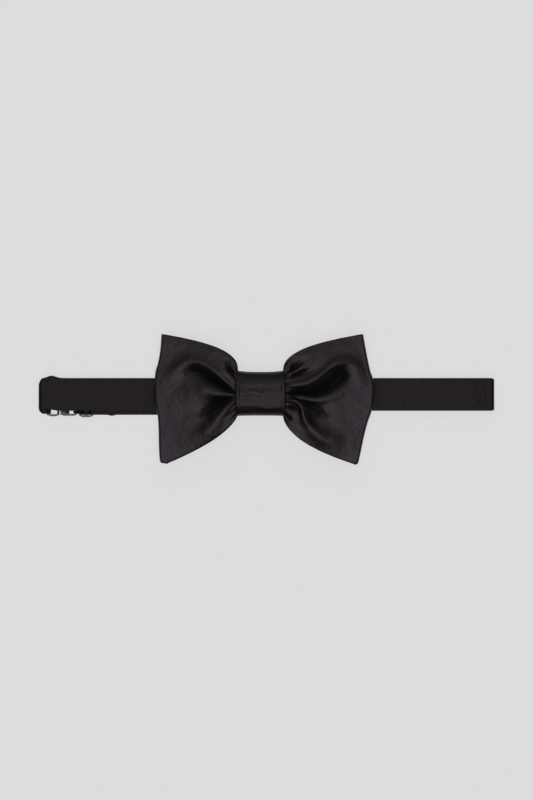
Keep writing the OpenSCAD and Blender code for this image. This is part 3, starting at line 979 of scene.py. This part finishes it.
class TIE_OT_inner_pieces(bpy.types.Operator):
    """Gives the thread, stitches, pads and interlinings of the frame their finish"""

    bl_idname = "tie.inner_pieces"
    bl_label = "Inner pieces"

    def execute(self, context):
        for subpart in frame["record"]["subparts"]:
            if subpart["material_slot"] in ("thread", "interlining"):
                node = frame["nodes"][subpart["node"]]
                node.data.materials.clear()
                node.data.materials.append(inner_finish(subpart["material_slot"]))
        return {"FINISHED"}


# ---- stage ----------------------------------------------------------------------------------


GLOW = 0.605
DOME = 0.03
VIEW_HEIGHT = 1.225
# name, lean towards the tie's lower edge, turn, colour, strength, apparent width in degrees
LAMPS = (
    ("key", 12, 0, (0.99, 0.97, 1), 0.85, 46),
    ("upper", -34, 0, (1, 0.93, 0.86), 0.5, 60),
)


class TIE_OT_stage(bpy.types.Operator):
    """Makes the pale table, the soft light and the camera"""

    bl_idname = "tie.stage"
    bl_label = "Stage"

    def execute(self, context):
        scene = context.scene
        scene.view_settings.view_transform = "Standard"
        bm = bmesh.new()
        bmesh.ops.create_grid(bm, x_segments=2, y_segments=2, size=6)
        bmesh.ops.translate(bm, verts=bm.verts, vec=(0, 0, -0.2 * MM))
        s = Shader("table")
        grain = s.noise(s.coordinates("Object", (1, 1, 1)), 40, 2)
        colour = tuple(scene.tie_colours.ground)
        s.finish(base_color=s.colour_mix(grain, shade(colour, 0.999), colour), roughness=0.9,
                 specular_ior_level=0.0, emission_color=(1, 1, 1, 1), emission_strength=GLOW)
        table = add_object("table", bm, s.material)
        world = bpy.data.worlds.new("studio")
        world.use_nodes = True
        world.node_tree.nodes["Background"].inputs["Strength"].default_value = DOME
        world.node_tree.nodes["Background"].inputs["Color"].default_value = (1, 1, 1, 1)
        scene.world = world
        for name, tilt, turn, colour, strength, angle in LAMPS:
            lamp = bpy.data.lights.new(name, "SUN")
            lamp.energy = strength
            lamp.color = colour
            lamp.angle = math.radians(angle)
            holder = bpy.data.objects.new(name, lamp)
            holder.rotation_euler = (math.radians(tilt), math.radians(turn), 0)
            scene.collection.objects.link(holder)
        lens = bpy.data.cameras.new("camera")
        lens.lens = 100
        lens.sensor_width = 36
        lens.clip_end = 50
        camera = bpy.data.objects.new("camera", lens)
        camera.location = (3.28 * MM, -3.56 * MM, VIEW_HEIGHT)
        scene.collection.objects.link(camera)
        scene.camera = camera
        return {"FINISHED"}


class TIE_PT_panel(bpy.types.Panel):
    """Lists the tie's sizes, colours and pieces"""

    bl_label = "Bow tie"
    bl_idname = "TIE_PT_panel"
    bl_space_type = "VIEW_3D"
    bl_region_type = "UI"
    bl_category = "Bow tie"

    def draw(self, context):
        for group in (context.scene.tie_sizes, context.scene.tie_colours):
            for name in group.__annotations__:
                self.layout.prop(group, name)
        for operator in STEPS:
            self.layout.operator(operator.bl_idname)


STEPS = (TIE_OT_stage, TIE_OT_bow, TIE_OT_knot, TIE_OT_front_band, TIE_OT_turns, TIE_OT_rear_band,
         TIE_OT_loops, TIE_OT_fittings, TIE_OT_inner_pieces)
CLASSES = (TieSizes, TieColours, *STEPS, TIE_PT_panel)


def register():
    for item in CLASSES:
        bpy.utils.register_class(item)
    bpy.types.Scene.tie_sizes = PointerProperty(type=TieSizes)
    bpy.types.Scene.tie_colours = PointerProperty(type=TieColours)


def unregister():
    del bpy.types.Scene.tie_sizes
    del bpy.types.Scene.tie_colours
    for item in reversed(CLASSES):
        bpy.utils.unregister_class(item)


def main():
    register()
    for operator in STEPS:
        group, name = operator.bl_idname.split(".")
        getattr(getattr(bpy.ops, group), name)()


if __name__ == "__main__":
    main()
